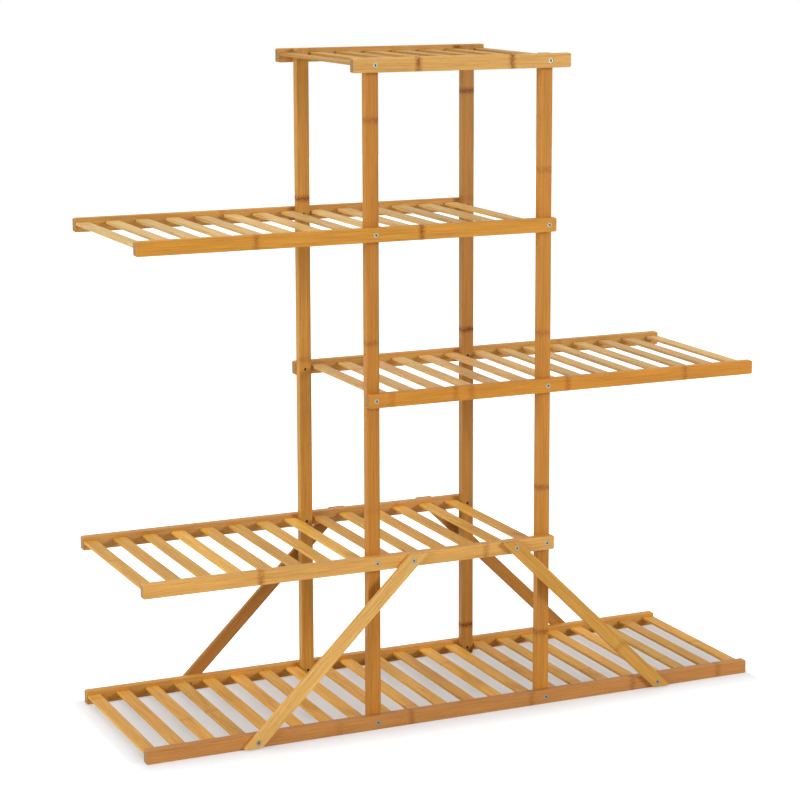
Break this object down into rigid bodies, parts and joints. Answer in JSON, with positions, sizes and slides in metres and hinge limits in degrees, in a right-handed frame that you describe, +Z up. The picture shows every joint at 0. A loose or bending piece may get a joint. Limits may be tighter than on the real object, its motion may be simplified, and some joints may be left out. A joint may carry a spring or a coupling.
{
  "type": "tiered plant stand",
  "caption": "Bamboo plant stand with slatted shelves on upright posts; shelves reach out to alternate sides, and diagonal braces tie the lowest ones together.",
  "frame": {"origin": "on the floor, under the middle of the stand's length and depth", "axes": "+X along the shelves to the right as seen from the front, +Y to the rear, +Z up"},
  "size_m": [0.9974, 0.321, 0.991],
  "materials": {
    "rail_bamboo": "satin",
    "slat_bamboo": "satin",
    "post_bamboo": "satin",
    "brace_bamboo": "satin",
    "screw_steel": "bright zinc"
  },
  "bodies": {
    "root": {"shelf_1_front_rail": "rail_bamboo", "shelf_2_front_rail": "rail_bamboo", "shelf_3_front_rail": "rail_bamboo", "shelf_4_front_rail": "rail_bamboo", "shelf_5_front_rail": "rail_bamboo", "shelf_1_rear_rail_and_slats": "slat_bamboo", "shelf_2_rear_rail_and_slats": "slat_bamboo", "shelf_3_rear_rail_and_slats": "slat_bamboo", "shelf_4_rear_rail_and_slats": "slat_bamboo", "shelf_5_rear_rail_and_slats": "slat_bamboo", "post_front_left": "post_bamboo", "post_front_right": "post_bamboo", "post_rear_left": "post_bamboo", "post_rear_right": "post_bamboo", "brace_front_left": "brace_bamboo", "brace_front_right": "brace_bamboo", "brace_rear_left": "brace_bamboo", "brace_rear_right": "brace_bamboo", "shelf_1_screw_front_left": "screw_steel", "shelf_1_screw_front_right": "screw_steel", "shelf_1_screw_rear_left": "screw_steel", "shelf_1_screw_rear_right": "screw_steel", "shelf_2_screw_front_left": "screw_steel", "shelf_2_screw_front_right": "screw_steel", "shelf_2_screw_rear_left": "screw_steel", "shelf_2_screw_rear_right": "screw_steel", "shelf_3_screw_front_left": "screw_steel", "shelf_3_screw_front_right": "screw_steel", "shelf_3_screw_rear_left": "screw_steel", "shelf_3_screw_rear_right": "screw_steel", "shelf_4_screw_front_left": "screw_steel", "shelf_4_screw_front_right": "screw_steel", "shelf_4_screw_rear_left": "screw_steel", "shelf_4_screw_rear_right": "screw_steel", "shelf_5_screw_front_left": "screw_steel", "shelf_5_screw_front_right": "screw_steel", "shelf_5_screw_rear_left": "screw_steel", "shelf_5_screw_rear_right": "screw_steel", "brace_front_left_screw_foot": "screw_steel", "brace_front_left_screw_top": "screw_steel", "brace_front_right_screw_foot": "screw_steel", "brace_front_right_screw_top": "screw_steel", "brace_rear_left_screw_foot": "screw_steel", "brace_rear_left_screw_top": "screw_steel", "brace_rear_right_screw_foot": "screw_steel", "brace_rear_right_screw_top": "screw_steel"}
  },
  "joints": []
}
